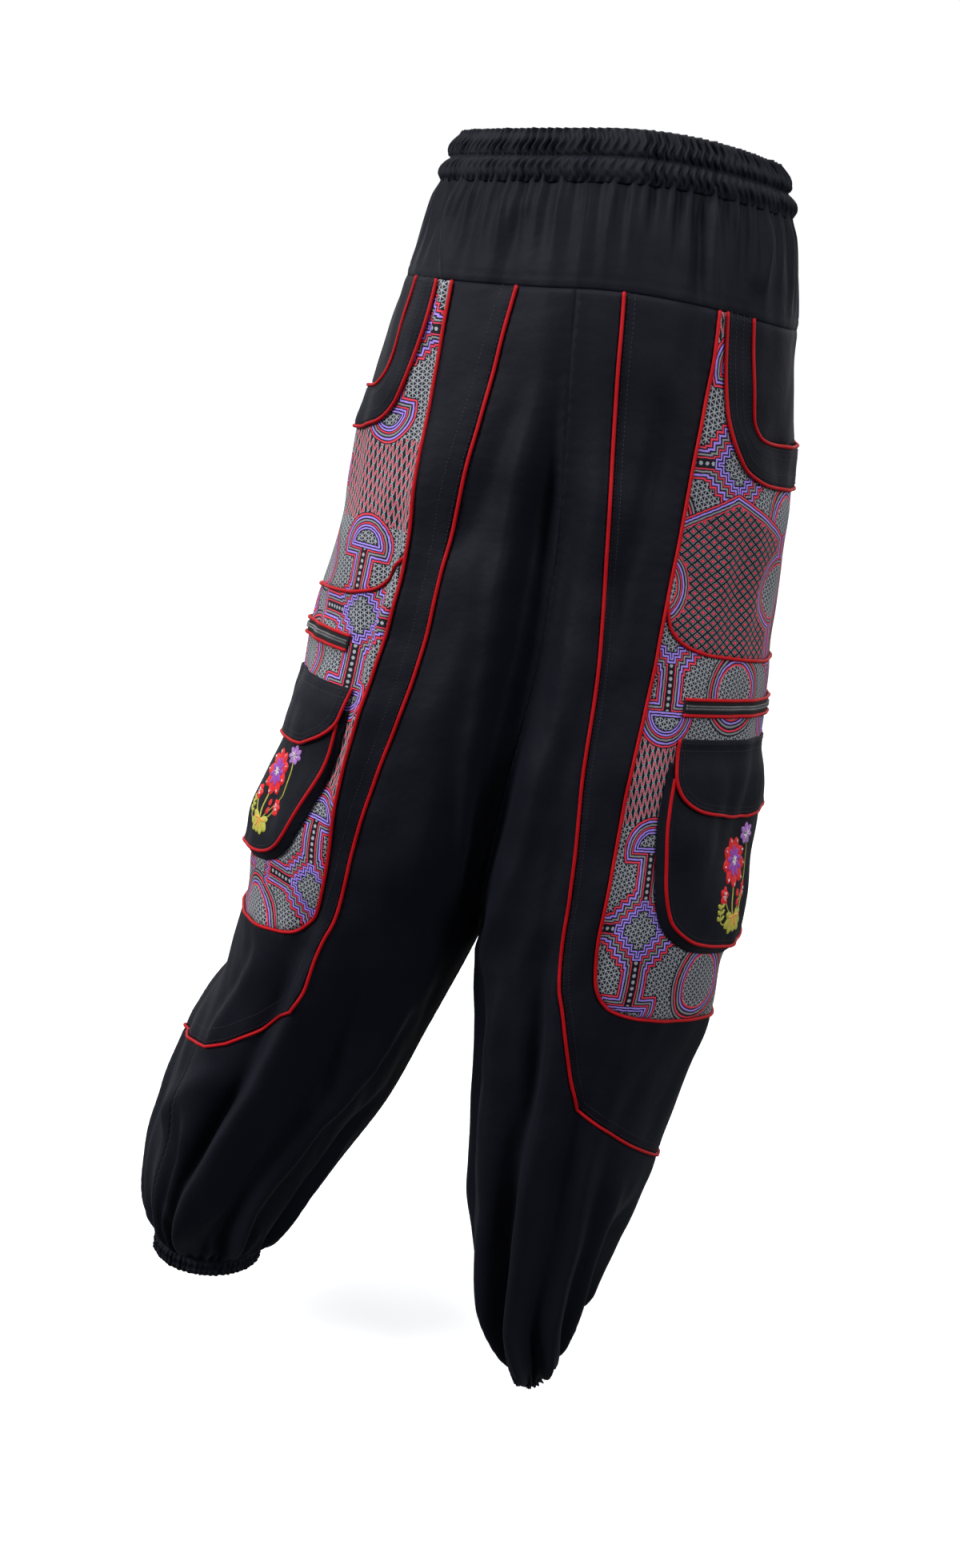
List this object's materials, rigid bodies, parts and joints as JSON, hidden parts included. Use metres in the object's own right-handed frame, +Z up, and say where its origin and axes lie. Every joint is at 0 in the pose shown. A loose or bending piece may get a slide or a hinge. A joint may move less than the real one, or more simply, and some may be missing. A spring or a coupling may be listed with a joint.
{
  "type": "harem pants",
  "caption": "Wide-legged trousers shown worn, with a gathered waistband, a yoke, piped print side panels, zip and cargo pockets and elastic cuffs; open at the waist and cuffs.",
  "frame": {"origin": "middle of the waist ring, where the waistband is sewn to the yoke", "axes": "+Z up; the back of the garment faces -Y; the right of whoever wears it is +X, and the left leg swings out towards -X"},
  "size_m": [0.5473, 0.2623, 1.0375],
  "materials": {
    "black_cotton": "matt black cotton",
    "printed_cotton": "cotton with a geometric print in coral red, lavender and grey on black",
    "red_piping": "red cotton piping cord",
    "zip_tape": "black zip tape and coil"
  },
  "bodies": {
    "root": {"waistband": "black_cotton", "yoke_back": "black_cotton", "yoke_front": "black_cotton", "left_back": "black_cotton", "left_front": "black_cotton", "left_front_lower": "black_cotton", "left_side": "black_cotton", "left_hip_panel": "black_cotton", "left_print_upper": "printed_cotton", "left_print_lower": "printed_cotton", "left_hip_band": "black_cotton", "left_zip": "zip_tape", "left_cargo_pocket": "black_cotton", "left_cargo_flap": "black_cotton", "left_cuff": "black_cotton", "left_piping_side": "red_piping", "left_piping_print": "red_piping", "left_piping_upper": "red_piping", "left_piping_hip_outer": "red_piping", "left_piping_hip_inner": "red_piping", "left_piping_zip_upper": "red_piping", "left_piping_zip_lower": "red_piping", "left_piping_flap": "red_piping", "left_piping_cargo": "red_piping", "right_back": "black_cotton", "right_front": "black_cotton", "right_front_lower": "black_cotton", "right_side": "black_cotton", "right_hip_panel": "black_cotton", "right_print_upper": "printed_cotton", "right_print_lower": "printed_cotton", "right_hip_band": "black_cotton", "right_zip": "zip_tape", "right_cargo_pocket": "black_cotton", "right_cargo_flap": "black_cotton", "right_cuff": "black_cotton", "right_piping_side": "red_piping", "right_piping_print": "red_piping", "right_piping_upper": "red_piping", "right_piping_hip_outer": "red_piping", "right_piping_hip_inner": "red_piping", "right_piping_zip_upper": "red_piping", "right_piping_zip_lower": "red_piping", "right_piping_flap": "red_piping", "right_piping_cargo": "red_piping"}
  },
  "joints": []
}
